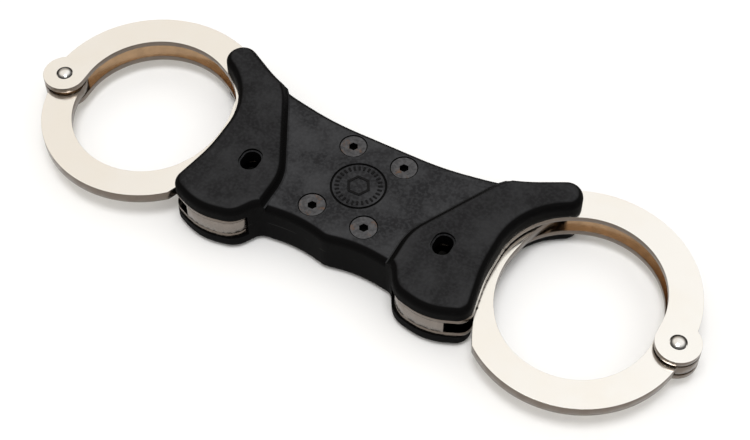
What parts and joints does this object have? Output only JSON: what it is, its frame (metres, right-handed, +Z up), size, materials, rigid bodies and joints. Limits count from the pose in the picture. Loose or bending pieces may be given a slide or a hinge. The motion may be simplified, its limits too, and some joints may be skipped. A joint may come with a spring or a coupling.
{
  "type": "rigid handcuffs",
  "caption": "Rigid bar handcuffs: twin swing-through ratchet cuffs of plated steel plate clamped in a moulded black grip with a raised lock pad, keyhole and horn at each end.",
  "frame": {"origin": "centre of the footprint's bounding box, on the surface that the handcuffs lie on", "axes": "+X from cuff to cuff along the grip, +Y towards the cuffs' fixed double bows and the grip's horns, +Z up out of the keyhole side"},
  "size_m": [0.2556, 0.0842, 0.0214],
  "materials": {
    "grip_moulding": "fine-textured glass-filled nylon, black, satin where it is handled",
    "cheek_plate": "nickel plate, polished, warm",
    "strand_plate": "nickel plate, polished, warm",
    "lock_frame_steel": "nickel-plated edge, brushed",
    "rivet_steel": "polished nickel",
    "washer_steel": "plain",
    "screw_steel": "dark phosphate, worn, with faint rust",
    "spine_steel": "plain",
    "spring_steel": "blued",
    "lock_work_steel": "blackened"
  },
  "bodies": {
    "grip": {"upper_shell": "grip_moulding", "lower_shell": "grip_moulding", "casing_screws": "screw_steel", "casing_sleeve_nuts": "screw_steel", "spine_plate": "spine_steel", "left_cheek_upper": "cheek_plate", "left_cheek_lower": "cheek_plate", "left_lock_frame": "lock_frame_steel", "left_pivot_rivet": "rivet_steel", "left_pivot_washers": "washer_steel", "left_frame_rivets": "rivet_steel", "left_pawl_pin": "rivet_steel", "left_pawl_spring": "spring_steel", "left_slide_pin": "rivet_steel", "left_key_post": "lock_work_steel", "right_cheek_upper": "cheek_plate", "right_cheek_lower": "cheek_plate", "right_lock_frame": "lock_frame_steel", "right_pivot_rivet": "rivet_steel", "right_pivot_washers": "washer_steel", "right_frame_rivets": "rivet_steel", "right_pawl_pin": "rivet_steel", "right_pawl_spring": "spring_steel", "right_slide_pin": "rivet_steel", "right_key_post": "lock_work_steel"},
    "left_strand": {"left_strand": "strand_plate"},
    "left_pawl": {"left_pawl": "lock_work_steel"},
    "left_double_lock_slide": {"left_double_lock_slide": "lock_work_steel"},
    "right_strand": {"right_strand": "strand_plate"},
    "right_pawl": {"right_pawl": "lock_work_steel"},
    "right_double_lock_slide": {"right_double_lock_slide": "lock_work_steel"}
  },
  "joints": [
    {"name": "left_strand_hinge", "type": "hinge", "parent": "grip", "child": "left_strand", "pos_m": [-0.12, -0.00224, 0.0107], "axis": [0, 0, -1], "continuous": true},
    {"name": "right_strand_hinge", "type": "hinge", "parent": "grip", "child": "right_strand", "pos_m": [0.12, -0.00224, 0.0107], "axis": [0, 0, 1], "continuous": true},
    {"name": "left_pawl_hinge", "type": "hinge", "parent": "grip", "child": "left_pawl", "pos_m": [-0.0484, 0.01226, 0.0107], "axis": [0, 0, 1], "range_deg": [0, 6.3], "stiffness_Nm_per_rad": 0.05, "springref_deg": -11.46, "deforming": ["left_pawl_spring"]},
    {"name": "right_pawl_hinge", "type": "hinge", "parent": "grip", "child": "right_pawl", "pos_m": [0.0484, 0.01226, 0.0107], "axis": [0, 0, -1], "range_deg": [0, 6.3], "stiffness_Nm_per_rad": 0.05, "springref_deg": -11.46, "deforming": ["right_pawl_spring"]},
    {"name": "left_double_lock", "type": "slide", "parent": "grip", "child": "left_double_lock_slide", "axis": [0, -1, 0], "range_m": [-0.0035, 0]},
    {"name": "right_double_lock", "type": "slide", "parent": "grip", "child": "right_double_lock_slide", "axis": [0, -1, 0], "range_m": [-0.0035, 0]}
  ]
}
